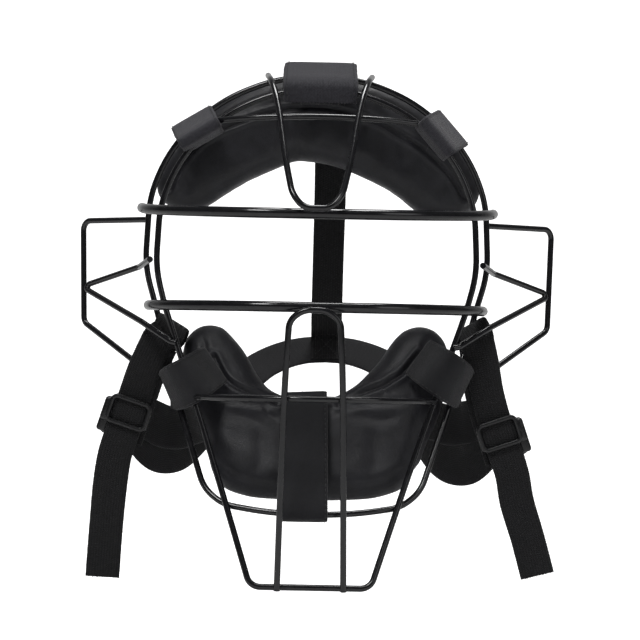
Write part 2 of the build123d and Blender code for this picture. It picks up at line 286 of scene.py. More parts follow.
def surface(name, roughness, **sockets):
    """A new material with its constants on the shader's own sockets."""
    material = bpy.data.materials.new(name)
    material.use_nodes = True
    tree = material.node_tree
    shader = tree.nodes["Principled BSDF"]
    shader.inputs["Roughness"].default_value = roughness
    for socket, value in sockets.items():
        shader.inputs[socket.replace("_", " ")].default_value = value
    return material, tree, shader


def place(tree):
    return node(tree, "TexCoord").outputs["Object"]


def cloud(tree, scale, detail=4.0):
    settings = {"Vector": place(tree), "Scale": scale, "Detail": detail}
    return node(tree, "TexNoise", settings).outputs["Fac"]


def shade(tree, shader, factor, dark, light, low=0.3, high=0.7):
    """Base colour between two greys, by a factor."""
    ramp = node(tree, "ValToRGB", {"Fac": factor})
    stops = ramp.color_ramp.elements
    stops[0].position, stops[1].position = low, high
    stops[0].color, stops[1].color = (*dark, 1.0), (*light, 1.0)
    tree.links.new(ramp.outputs["Color"], shader.inputs["Base Color"])


def spread_roughness(tree, shader, factor, low, high):
    limits = {"Value": factor, "From Min": 0.3, "From Max": 0.7, "To Min": low, "To Max": high}
    tree.links.new(node(tree, "MapRange", limits).outputs[0], shader.inputs["Roughness"])


def relief(tree, shader, height, distance, strength=1.0):
    """Adds bump on top of what the shader's normal already has."""
    inputs = {"Height": height, "Distance": distance, "Strength": strength}
    if shader.inputs["Normal"].is_linked:
        inputs["Normal"] = shader.inputs["Normal"].links[0].from_socket
    bump = node(tree, "Bump", inputs)
    tree.links.new(bump.outputs[0], shader.inputs["Normal"])


def coated_steel():
    material, tree, shader = surface("coated_steel", 0.2, Coat_Weight=0.3, Coat_Roughness=0.1)
    shade(tree, shader, cloud(tree, 260.0), (0.0055, 0.0055, 0.0068), (0.0125, 0.0125, 0.015))
    spread_roughness(tree, shader, cloud(tree, 420.0), 0.15, 0.22)
    relief(tree, shader, cloud(tree, 950.0, 2.0), 0.00004, 0.2)
    return material


def leather():
    material, tree, shader = surface("leather", 0.45, Sheen_Weight=0.06, Specular_IOR_Level=0.5)
    mottle = cloud(tree, 120.0, 6.0)
    shade(tree, shader, mottle, (0.0095, 0.0095, 0.0125), (0.0165, 0.0165, 0.0215))
    spread_roughness(tree, shader, cloud(tree, 900.0), 0.38, 0.56)
    cells = {"Vector": place(tree), "Scale": 820.0}
    grain = node(tree, "TexVoronoi", cells, feature="DISTANCE_TO_EDGE").outputs["Distance"]
    relief(tree, shader, calc(tree, "MINIMUM", grain, 0.16), 0.0006, 0.35)
    relief(tree, shader, cloud(tree, 1700.0, 3.0), 0.00012, 0.5)
    relief(tree, shader, cloud(tree, 95.0, 3.0), 0.0012, 0.25)
    return material


def weave_axes(tree):
    """Across and along a strap, in mm."""
    uv = node(tree, "UVMap", uv_map="weave").outputs[0]
    split = node(tree, "SeparateXYZ", {0: uv})
    return split.outputs[0], split.outputs[1]


def woven_height(tree, warp_pitch, weft_pitch):
    """Threads over and under: alternate columns are half a pick out of step."""
    across, along = weave_axes(tree)
    column = calc(tree, "FLOOR", calc(tree, "DIVIDE", across, warp_pitch))
    shift = calc(tree, "MULTIPLY", calc(tree, "PINGPONG", column, 1.0), 0.5)
    pick = calc(tree, "ADD", calc(tree, "DIVIDE", along, weft_pitch), shift)
    over = calc(tree, "ABSOLUTE", calc(tree, "SINE", calc(tree, "MULTIPLY", pick, pi)))
    lane = calc(tree, "MULTIPLY", calc(tree, "DIVIDE", across, warp_pitch), pi)
    crown = calc(tree, "ABSOLUTE", calc(tree, "SINE", lane))
    return calc(tree, "MULTIPLY", over, calc(tree, "POWER", crown, 0.6))


def fabric(name, warp, weft, dark, light, roughness, sheen, depth, fleck=0.35):
    material, tree, shader = surface(
        name, roughness, Sheen_Weight=sheen, Sheen_Roughness=0.45, Specular_IOR_Level=0.3
    )
    threads = woven_height(tree, warp, weft)
    mixed = calc(tree, "MULTIPLY", cloud(tree, 2300.0, 3.0), cloud(tree, 620.0, 2.0))
    heather = calc(tree, "MULTIPLY", calc(tree, "MULTIPLY", mixed, 2.0), fleck)
    tone = calc(tree, "ADD", calc(tree, "MULTIPLY", threads, 1.0 - fleck), heather)
    shade(tree, shader, tone, dark, light, 0.1, 0.9)
    relief(tree, shader, threads, depth)
    relief(tree, shader, cloud(tree, 3100.0, 2.0), depth * 0.5, 0.6)
    return material


def moulded_plastic():
    material, tree, shader = surface("moulded_plastic", 0.3, Specular_IOR_Level=0.55)
    shade(tree, shader, cloud(tree, 300.0), (0.0065, 0.0065, 0.0075), (0.0115, 0.0115, 0.013))
    spread_roughness(tree, shader, cloud(tree, 700.0), 0.24, 0.4)
    relief(tree, shader, cloud(tree, 2600.0, 2.0), 0.00005, 0.5)
    return material


def thread_finish():
    material, tree, shader = surface("thread", 0.6, Sheen_Weight=0.2)
    shade(tree, shader, cloud(tree, 4000.0), (0.012, 0.012, 0.013), (0.03, 0.03, 0.033))
    return material


def seen_directly(tree, seen, lighting):
    """One strength for what shows as background, and another for what lights the object."""
    path = node(tree, "LightPath").outputs["Is Camera Ray"]
    return calc(tree, "MULTIPLY_ADD", path, seen - lighting, lighting)


def studio_paper():
    material, tree, shader = surface("studio_paper", 0.9, Emission_Color=(1.0, 1.0, 1.0, 1.0))
    shade(tree, shader, cloud(tree, 3.0), (0.86, 0.86, 0.86), (0.88, 0.88, 0.88))
    tree.links.new(seen_directly(tree, 0.97, 0.03), shader.inputs["Emission Strength"])
    return material


FINISH = {
    "steel": coated_steel(),
    "leather": leather(),
    "woven": fabric(
        "tab_woven", 0.9, 0.8, (0.017, 0.017, 0.021), (0.075, 0.073, 0.086), 0.85, 0.25, 0.00022,
        0.6,
    ),
    "smooth": fabric(
        "tab_smooth", 0.6, 0.55, (0.013, 0.013, 0.015), (0.03, 0.03, 0.034), 0.8, 0.2, 0.00012
    ),
    "webbing": fabric(
        "webbing", 1.6, 1.1, (0.004, 0.004, 0.0045), (0.017, 0.017, 0.019), 0.62, 0.12, 0.00035,
        0.2,
    ),
    "elastic": fabric(
        "elastic", 1.1, 0.9, (0.007, 0.007, 0.008), (0.02, 0.02, 0.023), 0.7, 0.15, 0.0002, 0.25
    ),
    "plastic": moulded_plastic(),
    "thread": thread_finish(),
    "paper": studio_paper(),
}


# Cage: the CAD wires keep their shape and take the coated finish


def cage():
    for name, wire in frame["nodes"].items():
        if wire["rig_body"] == "mask" and name in WIRES:
            wire.data.materials.clear()
            wire.data.materials.append(FINISH["steel"])


WIRES = [
    "rear_ring", "front_ring", "upper_eye_bar", "lower_eye_bar", "forehead_loop", "chin_loop",
    "brow_bar", "chin_bar", "ear_guard_loop_left", "ear_guard_loop_right",
    "ear_guard_brace_left", "ear_guard_brace_right",
]


# Pads


def evaluated(obj):
    """The object's mesh with its modifiers applied."""
    depsgraph = bpy.context.evaluated_depsgraph_get()
    return bpy.data.meshes.new_from_object(obj.evaluated_get(depsgraph), depsgraph=depsgraph)


def coordinates(mesh):
    flat = np.zeros(len(mesh.vertices) * 3)
    mesh.vertices.foreach_get("co", flat)
    return flat.reshape(-1, 3)


def set_coordinates(mesh, points):
    mesh.vertices.foreach_set("co", points.astype(np.float32).ravel())
    mesh.update()


def nearest(points, line):
    """Distance from 2-D points to a polyline, and how far along it the nearest place is."""
    best = np.full(len(points), 1e9)
    where = np.zeros(len(points))
    passed = 0.0
    for a, b in zip(line[:-1], line[1:]):
        step = b - a
        length = np.linalg.norm(step)
        t = np.clip((points - a) @ step / max(length**2, 1e-12), 0, 1)
        gap = np.linalg.norm(points - a - t[:, None] * step, axis=1)
        closer = gap < best
        best[closer] = gap[closer]
        where[closer] = passed + t[closer] * length
        passed += length
    return best, where


def prism(name, outline, front, back):
    """A closed block: the outline is (x, z), and front and back are depths along Y."""
    count = len(outline)
    vertices = [(x, front, z) for x, z in outline] + [(x, back, z) for x, z in outline]
    faces = [tuple(range(count)), tuple(range(count, 2 * count))[::-1]]
    for i in range(count):
        j = (i + 1) % count
        faces.append((i, i + count, j + count, j))
    return new_object(name, vertices, faces, FINISH["leather"])


def remesh(obj):
    modifier = obj.modifiers.new("even", "REMESH")
    modifier.mode = "VOXEL"
    modifier.voxel_size = PAD_VOXEL
    swap_mesh(obj)


def swap_mesh(obj):
    mesh = evaluated(obj)
    obj.modifiers.clear()
    old = obj.data
    obj.data = mesh
    bpy.data.meshes.remove(old)


def inflate(obj):
    """Lets the cover fill out under its stuffing's pressure, and no further than PAD_CAP."""
    rest = coordinates(obj.data)
    cloth = obj.modifiers.new("stuffing", "CLOTH")
    settings = cloth.settings
    settings.quality = 6
    settings.mass = 0.3
    settings.use_pressure = True
    settings.uniform_pressure_force = PAD_PRESSURE
    settings.effector_weights.gravity = 0.0
    settings.shrink_min = -0.03  # the cover may stretch 3%
    cloth.collision_settings.use_collision = False
    cloth.point_cache.frame_start = 1
    cloth.point_cache.frame_end = CLOTH_FRAMES
    for frame_number in range(1, CLOTH_FRAMES + 1):
        bpy.context.scene.frame_set(frame_number)
    mesh = evaluated(obj)
    push = coordinates(mesh) - rest
    bpy.data.meshes.remove(mesh)
    obj.modifiers.clear()
    length = np.linalg.norm(push, axis=1, keepdims=True)
    push *= np.minimum(1.0, PAD_CAP * MM / np.maximum(length, 1e-9))
    set_coordinates(obj.data, rest + push)


def smooth_subdivide(obj, levels):
    modifier = obj.modifiers.new("smooth", "SUBSURF")
    modifier.levels = modifier.render_levels = levels
    swap_mesh(obj)


def vertex_normals(mesh):
    flat = np.zeros(len(mesh.vertices) * 3)
    mesh.vertices.foreach_get("normal", flat)
    return flat.reshape(-1, 3)


def press_lines(obj, lines):
    """Sinks grooves into a pad's front along (x, z) lines: seams with raised lips, or wrinkles."""
    points = coordinates(obj.data)
    normals = vertex_normals(obj.data)
    facing = np.clip(-normals[:, 1] * 3 + 0.6, 0, 1)
    move = np.zeros(len(points))
    for line in lines:
        route = spline([(x * MM, 0.0, z * MM) for x, z in line["points"]], 0.004)[:, [0, 2]]
        gap, where = nearest(points[:, [0, 2]], route)
        width = line["width"] * MM
        total = np.linalg.norm(np.diff(route, axis=0), axis=1).sum()
        ends = np.clip(np.minimum(where, total - where) / 0.008, 0, 1) ** 0.7
        if line.get("through"):
            ends = 1.0
        groove = -np.exp(-((gap / width) ** 2))
        lips = 0.45 * np.exp(-(((gap - 2.3 * width) / (1.3 * width)) ** 2))
        pucker = line.get("pucker", 0.0) * np.exp(-((gap / 0.005) ** 2))
        pucker = pucker * np.sin(where / 0.0033 + 2.0 * np.sin(where / 0.013))
        move += ends * (line["depth"] * MM * (groove + lips * line.get("lip", 1.0)) + pucker * MM)
    set_coordinates(obj.data, points + normals * (move * facing)[:, None])


def stuffed(name, outline, lean, front, back, crown, edge, node_names, lines):
    """A stuffed cover: an outline block, crowned, swollen by cloth simulation, then seamed.

    outline is (x, z) in mm, front and back are mm behind the rear ring, and crown is how far in
    from the rim the pad reaches its full depth, from the share of it given by edge. With lean, it
    follows the ring's lean under the jaw.
    """
    corners = [(x * MM, 0.0, z * MM) for x, z in outline]
    rim = spline(corners, PAD_OUTLINE_STEP, closed=True)[:, [0, 2]]
    pad = prism(name, rim, front * MM, back * MM)
    remesh(pad)
    points = coordinates(pad.data)
    loop = np.concatenate([rim, rim[:1]])
    gap, _ = nearest(points[:, [0, 2]], loop)
    inside = np.clip(gap / (crown * MM), 0, 1)
    fullness = edge + (1 - edge) * (1 - (1 - inside) ** 2.4) ** (1 / 2.4)
    middle = (front + back) / 2 * MM
    points[:, 1] = middle + (points[:, 1] - middle) * fullness
    if lean:
        stretch = (1 + JAW_SLOPE**2) ** 0.5
        points[:, 1] = jaw_y(points[:, 2]) + points[:, 1] * stretch
    set_coordinates(pad.data, points)
    inflate(pad)
    smooth_subdivide(pad, 2)
    press_lines(pad, lines)
    pad.data.shade_smooth()
    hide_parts(*node_names)
    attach(pad, "mask")
    return pad


def forehead_pad():
    arc = [radians(a) for a in range(20, 161, 14)]
    outer = [(105.0 * cos(a), 14.0 + 97.4 * sin(a)) for a in arc]
    inner = [
        (-98.5, 41.0), (-94.0, 34.5), (-84.4, 31.0), (-73.9, 31.5), (-57.4, 38.5), (-39.6, 46.0),
        (-22.0, 53.6), (-14.0, 57.0), (-4.7, 56.4), (4.0, 55.5), (16.0, 52.2), (37.0, 43.5),
        (51.0, 37.5), (62.0, 31.5), (76.0, 28.5), (90.0, 31.0), (98.0, 40.0),
    ]
    seam = [
        (-89.0, 40.0), (-86.0, 48.0), (-79.0, 60.5), (-72.0, 68.0), (-63.0, 74.3), (-54.0, 78.5),
        (-40.0, 84.0), (-20.0, 89.5), (0.0, 91.0), (20.0, 88.0), (38.8, 81.3), (46.0, 76.9),
        (56.3, 71.1), (64.2, 65.8), (74.7, 56.3), (81.0, 49.2), (88.0, 38.0),
    ]
    lines = [
        {"points": seam, "depth": 1.9, "width": 1.1, "pucker": 0.22, "through": True},
        {"points": [(-23.0, 88.0), (-20.5, 72.0), (-21.5, 57.0)], "depth": 0.9, "width": 2.2},
        {"points": [(-12.0, 86.0), (-10.0, 72.0), (-13.0, 60.0)], "depth": 0.5, "width": 3.0},
        {"points": [(26.0, 84.0), (22.0, 70.0), (23.0, 56.0)], "depth": 0.6, "width": 2.6},
        {"points": [(-82.0, 52.0), (-78.0, 44.0), (-79.0, 36.0)], "depth": 0.8, "width": 2.4},
        {"points": [(77.0, 50.0), (73.0, 42.0), (76.0, 34.0)], "depth": 0.7, "width": 2.4},
        {"points": [(48.0, 72.0), (52.0, 62.0), (49.0, 54.0)], "depth": 0.5, "width": 2.8},
    ]
    stuffed(
        "forehead_pad", inner + outer, False, 5.6, 30.2, 15.0, 0.34,
        ["forehead_pad_cover", "forehead_pad_foam"], lines,
    )


def chin_pad():
    right = [
        (12.0, -81.5), (22.0, -76.5), (29.0, -70.5), (36.0, -64.5), (42.0, -60.0), (47.0, -53.5),
        (53.0, -46.5), (60.0, -41.8), (70.0, -41.3), (78.5, -47.0), (83.0, -58.0), (81.5, -75.0),
        (76.0, -95.0), (68.5, -111.0), (62.0, -124.0), (54.0, -134.5), (40.0, -139.5),
        (20.0, -141.5),
    ]
    left = [
        (-20.0, -141.5), (-38.0, -140.0), (-51.5, -135.5), (-59.5, -125.0), (-65.0, -108.0),
        (-74.0, -92.0), (-80.0, -75.0), (-82.0, -58.0), (-77.5, -47.0), (-69.0, -42.4),
        (-60.5, -43.0), (-53.0, -49.0), (-44.5, -57.5), (-35.5, -68.8), (-22.0, -80.5),
        (-11.0, -82.5),
    ]
    lines = [
        {"points": [(-60.0, -60.0), (-52.0, -73.0), (-43.5, -78.5), (-34.0, -81.8), (-20.0, -86.8)],
         "depth": 2.2, "width": 1.2, "pucker": 0.2, "through": True},
        {"points": [(62.0, -56.0), (51.0, -68.6), (46.0, -71.5), (41.0, -74.8), (36.0, -76.4),
                    (27.0, -80.0), (14.0, -86.5)],
         "depth": 2.2, "width": 1.2, "pucker": 0.2, "through": True},
        {"points": [(41.0, -75.0), (41.3, -81.0)], "depth": 0.9, "width": 0.9},
        {"points": [(-57.0, -84.5), (-36.0, -86.5), (-18.0, -88.0)], "depth": 1.0, "width": 1.6},
        {"points": [(16.0, -87.0), (34.0, -85.5), (56.0, -84.5)], "depth": 1.0, "width": 1.6},
        {"points": [(-30.0, -86.0), (-26.0, -93.0), (-20.0, -96.0)], "depth": 0.8, "width": 1.6},
        {"points": [(-52.0, -92.0), (-40.0, -95.0), (-29.0, -99.0)], "depth": 0.6, "width": 2.6},
        {"points": [(24.0, -91.0), (38.0, -95.0), (50.0, -93.0)], "depth": 0.6, "width": 2.4},
        {"points": [(-33.0, -100.0), (-30.0, -115.0), (-34.0, -131.0)], "depth": 0.5, "width": 3.6},
        {"points": [(34.0, -99.0), (36.0, -116.0), (31.0, -130.0)], "depth": 0.5, "width": 3.6},
        {"points": [(-70.0, -47.0), (-66.0, -53.0), (-66.5, -60.0)], "depth": 0.9, "width": 1.6},
        {"points": [(70.0, -45.0), (65.0, -52.0), (66.0, -60.0)], "depth": 0.9, "width": 1.6},
        {"points": [(-58.0, -120.0), (-40.0, -132.0), (-20.0, -134.5)], "depth": 0.6, "width": 2.0},
        {"points": [(56.0, -120.0), (40.0, -131.0), (18.0, -134.5)], "depth": 0.6, "width": 2.0},
    ]
    stuffed(
        "chin_pad", right + left, True, 5.4, 30.0, 15.0, 0.34,
        ["chin_pad_cover", "chin_pad_foam"], lines,
    )


# Hook-and-loop tabs


def tab(name, rows, material, thick=0.0016, seed=1, fray=10):
    """A hook-and-loop band with frayed ends, and a row of stitches along each edge."""
    path = spline(rows_mm(rows), TAB_STEP)
    made = strap(
        f"{name}_band", path, thick, FINISH[material], rib=0.03, ragged=0.006, seed=seed,
        body="mask",
    )
    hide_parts(name)
    loose = frayed(path, True, 0.0022, 0.5, fray, seed)
    loose += frayed(path, False, 0.0022, 0.5, fray, seed + 1)
    tubes(f"{name}_fibres", loose, 0.00012, FINISH["thread"], sides=4, body="mask")
    threads = []
    for edge in (-0.9, 0.9):
        for lift in (thick / 2, -thick / 2):
            points, facing = on_strap(path, 0.02, 0.98, edge, edge, lift)
            threads += stitch_lines(points, facing, 0.0032)
    tubes(f"{name}_stitching", threads, 0.00022, FINISH["thread"], sides=5, body="mask")


def forehead_tab_center():
    """The wide tab: behind the rear ring, over it, and down in front of the front ring."""
    rows = [
        (0.6, -33.6, 88.9, 1.0, 0.0, -0.03, 42.5),
        (0.6, -34.6, 94.0, 1.0, 0.0, -0.02, 43.0),
        (0.5, -34.6, 98.6, 1.0, 0.0, -0.01, 43.5),
        (0.4, -31.6, 102.6, 1.0, 0.0, 0.0, 43.5),
        (0.2, -22.0, 107.4, 1.0, 0.0, 0.0, 43.5),
        (0.2, -11.0, 112.4, 1.0, 0.0, 0.0, 43.5),
        (0.4, -4.0, 115.6, 1.0, 0.0, 0.0, 43.0),
        (0.3, 1.2, 116.7, 1.0, 0.0, 0.0, 42.5),
        (0.2, 4.8, 115.3, 1.0, 0.0, 0.0, 42.0),
        (0.2, 6.6, 111.8, 1.0, 0.0, 0.0, 42.0),
        (0.2, 6.8, 109.0, 1.0, 0.0, 0.0, 42.0),
    ]
    tab("forehead_tab_center", rows, "woven", thick=0.002, seed=3, fray=26)


FOREHEAD_TABS = {
    "left": {"spot": (-75.0, 79.9), "out": (-0.50, 0.866), "across": (0.857, 0.515)},
    "right": {"spot": (77.5, 77.5), "out": (0.77, 0.64), "across": (-0.66, 0.75)},
}


def forehead_tab(side):
    """A band from behind the rear ring, over both rings, to the pad's face."""
    facts = FOREHEAD_TABS[side]
    x, z = facts["spot"]
    out_x, out_z = facts["out"]
    across_x, across_z = facts["across"]
    route = [
        (3.6, -8.0, 24.0), (3.5, -2.0, 26.0), (3.0, 1.8, 27.0), (0.0, 3.6, 27.5),
        (-6.0, 2.6, 27.5), (-16.0, -1.2, 27.5), (-27.0, -5.2, 27.5), (-35.0, -7.6, 27.0),
        (-39.4, -10.4, 27.0), (-38.8, -14.0, 26.5), (-34.0, -15.4, 26.0), (-25.0, -16.4, 26.0),
    ]
    rows = []
    for y, r, width in route:
        rows.append((x + out_x * r, y, z + out_z * r, across_x, 0.0, across_z, width))
    seed = 5 + SIDES[side]
    tab(f"forehead_tab_{side}", rows, "woven", seed=seed)


# How each cheek tab sits: moved outwards, moved up, and its rear end moved up, in mm
CHEEK_TABS = {"left": (-2.6, -6.5, 0.0), "right": (0.0, 0.0, -2.4)}


def cheek_tab(side):
    """A broad band from the pad's face, over the front ring, round the rear ring's outside."""
    sign = SIDES[side]
    shift, drop, low = CHEEK_TABS[side]
    route = [
        (61.0, -17.5, -57.6, 0.50, 0.10, 0.81, 24.5),
        (64.5, -24.5, -60.0, 0.52, 0.10, 0.81, 26.0),
        (69.2, -33.0, -63.2, 0.54, 0.10, 0.81, 26.8),
        (75.0, -37.8, -67.0, 0.52, 0.10, 0.82, 27.4),
        (81.0, -35.0, -70.2 + low * 0.3, 0.48, 0.06, 0.83, 27.2),
        (86.0, -27.0, -72.6 + low * 0.7, 0.42, 0.02, 0.85, 26.0),
        (88.4, -18.6, -74.0 + low, 0.38, -0.04, 0.86, 24.0),
        (87.4, -12.4, -74.8 + low, 0.36, -0.08, 0.87, 20.0),
        (83.6, -10.6, -75.4 + low, 0.34, -0.12, 0.87, 17.0),
        (79.0, -10.6, -76.0 + low, 0.34, -0.14, 0.87, 15.0),
    ]
    rows = []
    for x, y, z, ax, ay, az, width in route:
        lean = JAW_SLOPE * drop
        rows.append((sign * (x + shift), y + lean, z + drop, sign * ax, ay, az, width))
    tab(f"cheek_tab_{side}", rows, "smooth", thick=0.0017, seed=9 + sign, fray=5)


def chin_tab():
    across = (1.0, 0.0, 0.0)
    rows = [
        (-5.4, -21.0, -79.6, 1.0, 0.0, 0.14, 26.0),
        (-5.4, -26.5, -86.5, 1.0, 0.0, 0.06, 26.5),
        (-5.2, -33.5, -100.0, *across, 27.0),
        (-4.8, -43.5, -118.0, *across, 27.0),
        (-4.5, -54.5, -136.0, *across, 27.0),
        (-4.4, -59.8, -144.6, *across, 27.0),
        (-4.4, -60.0, -148.6, *across, 27.0),
        (-4.4, -56.4, -150.8, *across, 27.0),
        (-4.4, -52.6, -148.6, *across, 26.5),
        (-4.4, -49.2, -142.0, *across, 26.0),
    ]
    tab("chin_tab", rows, "smooth", seed=12, fray=6)


# Harness


def top_strap():
    """Webbing that hangs from the ring's top wire, behind the forehead pad, to the rear strap."""
    across = (1.0, 0.0, 0.0)
    rows = [
        (7.0, -0.6, 104.9, *across, 19.0),
        (7.0, -3.8, 107.4, *across, 19.0),
        (7.0, -3.9, 111.2, *across, 19.2),
        (7.0, -0.8, 113.5, *across, 19.5),
        (7.0, 6.0, 113.6, *across, 20.0),
        (7.1, 20.0, 113.7, *across, 20.0),
        (7.2, 33.0, 113.2, *across, 20.0),
        (7.3, 39.6, 110.2, *across, 20.0),
        (7.4, 43.0, 103.0, *across, 20.0),
        (7.6, 47.5, 80.0, *across, 20.2),
        (7.6, 56.5, 42.0, *across, 20.0),
        (7.2, 67.0, 0.0, *across, 19.8),
        (7.0, 80.0, -30.0, *across, 20.0),
        (7.0, 95.6, -46.0, *across, 20.0),
        (7.0, 97.0, -49.2, *across, 20.0),
        (7.0, 92.0, -55.0, *across, 20.0),
        (7.0, 83.5, -62.8, *across, 20.0),
    ]
    path = spline(rows_mm(rows), WEBBING_STEP)
    made = strap(
        "top_strap_webbing", path, TOP_STRAP_THICK, FINISH["webbing"], rib=0.1, ragged=0.007,
        seed=21, body="harness",
    )
    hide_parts("top_strap")
    # A boxed cross of stitches, on both faces, where the strap is sewn to the elastic
    lines = []
    corners = [(0.905, -0.7), (0.905, 0.7), (0.985, -0.7), (0.985, 0.7)]
    for a, b in ((0, 1), (1, 3), (3, 2), (2, 0), (0, 3), (1, 2)):
        (from_share, from_side), (to_share, to_side) = corners[a], corners[b]
        for lift in (-TOP_STRAP_THICK / 2, TOP_STRAP_THICK / 2):
            points, facing = on_strap(path, from_share, to_share, from_side, to_side, lift)
            lines += stitch_lines(points, facing, 0.0026)
    tubes("top_strap_stitching", lines, 0.00025, FINISH["thread"], body="harness")


# How each half of the elastic sits, in mm: moved up, and its doubled-back end moved up further
ELASTIC_SIT = {"left": (0.0, 1.0), "right": (-4.0, 10.5)}


def elastic_half(side):
    """Half of the rear elastic, round behind the pad to the buckle, and its doubled-back end."""
    sign = SIDES[side]
    drop = ELASTIC_SIT[side][0]
    centre = np.array([7.0, 92.0, -56.0])
    down = np.array([0.0, -0.741, -0.671])
    rows = []
    for turn in (-2.0, 14.0, 28.0, 42.0, 54.0):
        a = radians(turn)
        radial = np.array([sign * sin(a), 0.0, 0.0]) - down * cos(a)
        spot = centre + down * 60.0 + 60.0 * radial
        rows.append((*spot, *radial, 25.0))
    rows += [
        (sign * 62.0 + 3.0, 62.0, -87.5, sign * 0.55, 0.35, 0.70, 25.0),
        (sign * 67.0 + 1.0, 50.0, -99.0 + drop / 2, sign * 0.35, 0.15, 0.9, 25.0),
        (sign * 74.0, 35.5, -111.5 + drop, sign * 0.15, -0.1, 1.0, 25.5),
        (sign * 83.5, 24.0, -119.0 + drop, sign * 0.05, -0.05, 1.0, 26.0),
        (sign * 93.5, 13.5, -118.5 + drop, -sign * 0.15, 0.0, 1.0, 26.0),
        (sign * 102.5, 3.5, -109.5 + drop, -sign * 0.3, 0.0, 0.95, 24.0),
        (sign * 108.8, -5.0, -99.5 + drop, -sign * 0.34, 0.0, 0.94, 21.0),
        (sign * 111.0, -10.0, -96.5 + drop * 1.6, -sign * 0.36, 0.0, 0.93, 20.0),
    ]
    path = spline(rows_mm(rows), ELASTIC_STEP)
    made = strap(
        f"rear_elastic_{side}", path, ELASTIC_THICK, FINISH["elastic"], rib=0.05, ragged=0.003,
        seed=31,
    )
    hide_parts(f"rear_strap_end_{side}", *(["rear_strap"] if side == "left" else []))
    raised = ELASTIC_SIT[side][1]
    fold = [
        (sign * 110.0, -12.0, -93.0 + drop * 1.6, -sign * 0.36, 0.0, 0.93, 20.0),
        (sign * 106.5, -8.5, -94.5 + drop, -sign * 0.34, 0.0, 0.94, 21.0),
        (sign * 99.5, 0.5, -98.5 + drop + raised * 0.7, -sign * 0.22, 0.0, 0.97, 24.0),
        (sign * 91.0, 9.5, -104.0 + drop + raised, -sign * 0.06, 0.0, 1.0, 26.0),
        (sign * 82.0, 18.5, -106.0 + drop + raised, sign * 0.1, 0.0, 1.0, 25.0),
        (sign * 75.0, 27.0, -104.5 + drop + raised, sign * 0.2, 0.0, 0.98, 24.0),
        (sign * 69.5 + 0.8, 39.0, -102.0 + drop / 2 + raised * 0.5, sign * 0.3, 0.05, 0.95, 24.5),
        (sign * 65.4 + 1.0, 51.0, -98.8 + drop / 2, sign * 0.35, 0.15, 0.9, 24.8),
    ]
    doubled = strap(
        f"elastic_fold_{side}", spline(rows_mm(fold), ELASTIC_STEP), ELASTIC_THICK,
        FINISH["elastic"], rib=0.05, ragged=0.003, seed=33,
    )
    start, end = (TOP_STRAP_X + sign * 0.012, 0.085, -0.055), (sign * 0.1, 0.005, -0.11)
    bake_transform(made)
    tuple(start)
    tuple(end)
    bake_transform(doubled)
    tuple(start)
    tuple(end)


# Side straps, buckles and tails


def strap_spot(side, up, forward=0.0, across=0.0):
    """A place on a side strap's plane, from the buckle's centre, in metres."""
    facts = BUCKLES[side]
    x, z = facts["centre"]
    lean = facts["tilt"]
    sign = SIDES[side]
    return (
        x - sign * up * sin(lean) + across * cos(lean),
        STRAP_Y - forward,
        z + up * cos(lean) + across * sign * sin(lean),
    )


def strap_across(side):
    lean = BUCKLES[side]["tilt"]
    return (cos(lean), 0.0, SIDES[side] * sin(lean))


# How far the webbing strays across its straight line, at heights above the buckle
SWAY_UP = (-0.0165, 0.0, 0.010, 0.026, 0.042, 0.057)
SWAY = {
    "left": (0.0, 0.0, 0.0, 0.0, 0.0015, 0.0015),
    "right": (0.0, 0.0, 0.0, 0.001, 0.0035, 0.0060),
}
# The bunched fold round the ring: its height above the buckle, and how far it is moved (x, z)
FOLD = {"left": (0.047, 0.005, -0.0040), "right": (0.055, 0.003, -0.0027)}
FOLD_ROUTE = [
    (0.0925, -0.0156, -0.0425, 0.89, 0.1, 0.45),
    (0.0900, -0.0093, -0.0365, 0.86, 0.1, 0.50),
    (0.0900, 0.0035, -0.0375, 0.86, 0.1, 0.50),
    (0.0925, 0.0065, -0.0440, 0.90, 0.0, 0.42),
]
LAYER_LIFT = 0.87 * MM


def side_strap(side):
    """Doubled webbing from its bunched fold round the ring down to the buckle."""
    sign = SIDES[side]
    across = strap_across(side)
    top, moved_x, moved_z = FOLD[side]
    inner = -sign * 0.0030

    def spot(up, lift, shift=0.0):
        return strap_spot(side, up, lift, shift + np.interp(up, SWAY_UP, SWAY[side]))

    front, back = [], []
    for up in (-0.0165, -0.010, 0.0, 0.010, 0.026, 0.042):
        front.append((*spot(up, LAYER_LIFT), *across, WEBBING * 0.985))
        back.append((*spot(up, -LAYER_LIFT, inner), *across, WEBBING * 1.01))
    crest = [(*spot(top, 0.0012, sign * -0.001), *across, WEBBING)]
    for x, y, z, ax, ay, az in FOLD_ROUTE:
        crest.append((sign * x + moved_x, y, z + moved_z, ax, ay, sign * az, WEBBING))
    crest += [
        (*spot(top - 0.004, -0.0175, sign * -0.001), *across, WEBBING),
        (*spot(top - 0.016, -0.0085, inner * 0.7), *across, WEBBING),
    ]
    made = strap(
        f"side_webbing_{side}", spline(front + crest + back[::-1], WEBBING_STEP),
        SIDE_STRAP_THICK, FINISH["webbing"], rib=0.1, ragged=0.007, seed=41 + sign, body="mask",
    )
    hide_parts(f"side_strap_{side}")


# The tail's bend below the buckle: how far it is out at the first bend, and at the knee (x)
TAIL_BEND = {"left": (0.0046, 0.0068), "right": (0.0050, 0.0078)}


